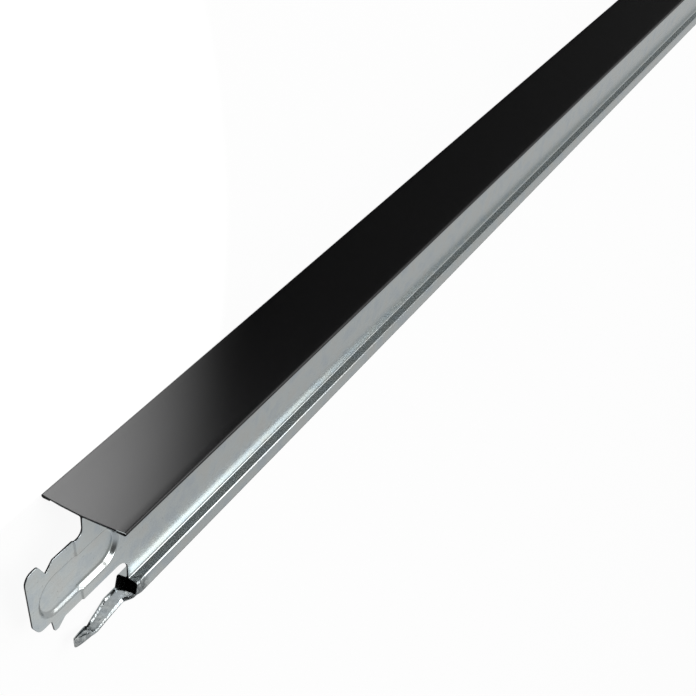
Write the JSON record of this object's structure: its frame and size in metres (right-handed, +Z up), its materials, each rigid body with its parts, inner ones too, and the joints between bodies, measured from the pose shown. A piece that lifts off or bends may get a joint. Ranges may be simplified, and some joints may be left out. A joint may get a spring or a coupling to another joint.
{
  "type": "ceiling grid cross tee",
  "caption": "Inverted-T ceiling grid cross tee in rolled galvanised steel with a black capped face, hollow bulb and stamped hook connectors.",
  "frame": {"origin": "middle of the tee's footprint, on the floor it lies on", "axes": "+X along the tee, -Y out of the visible face, which leans back a little, +Z up from the floor"},
  "size_m": [0.6144, 0.0402, 0.0234],
  "materials": {
    "galvanised_steel": "hot-dip galvanised strip, satin with a faint spangle",
    "black_painted_steel": "coil-coated satin black"
  },
  "bodies": {
    "root": {"tee_body": "galvanised_steel", "face_cap": "black_painted_steel"}
  },
  "joints": []
}
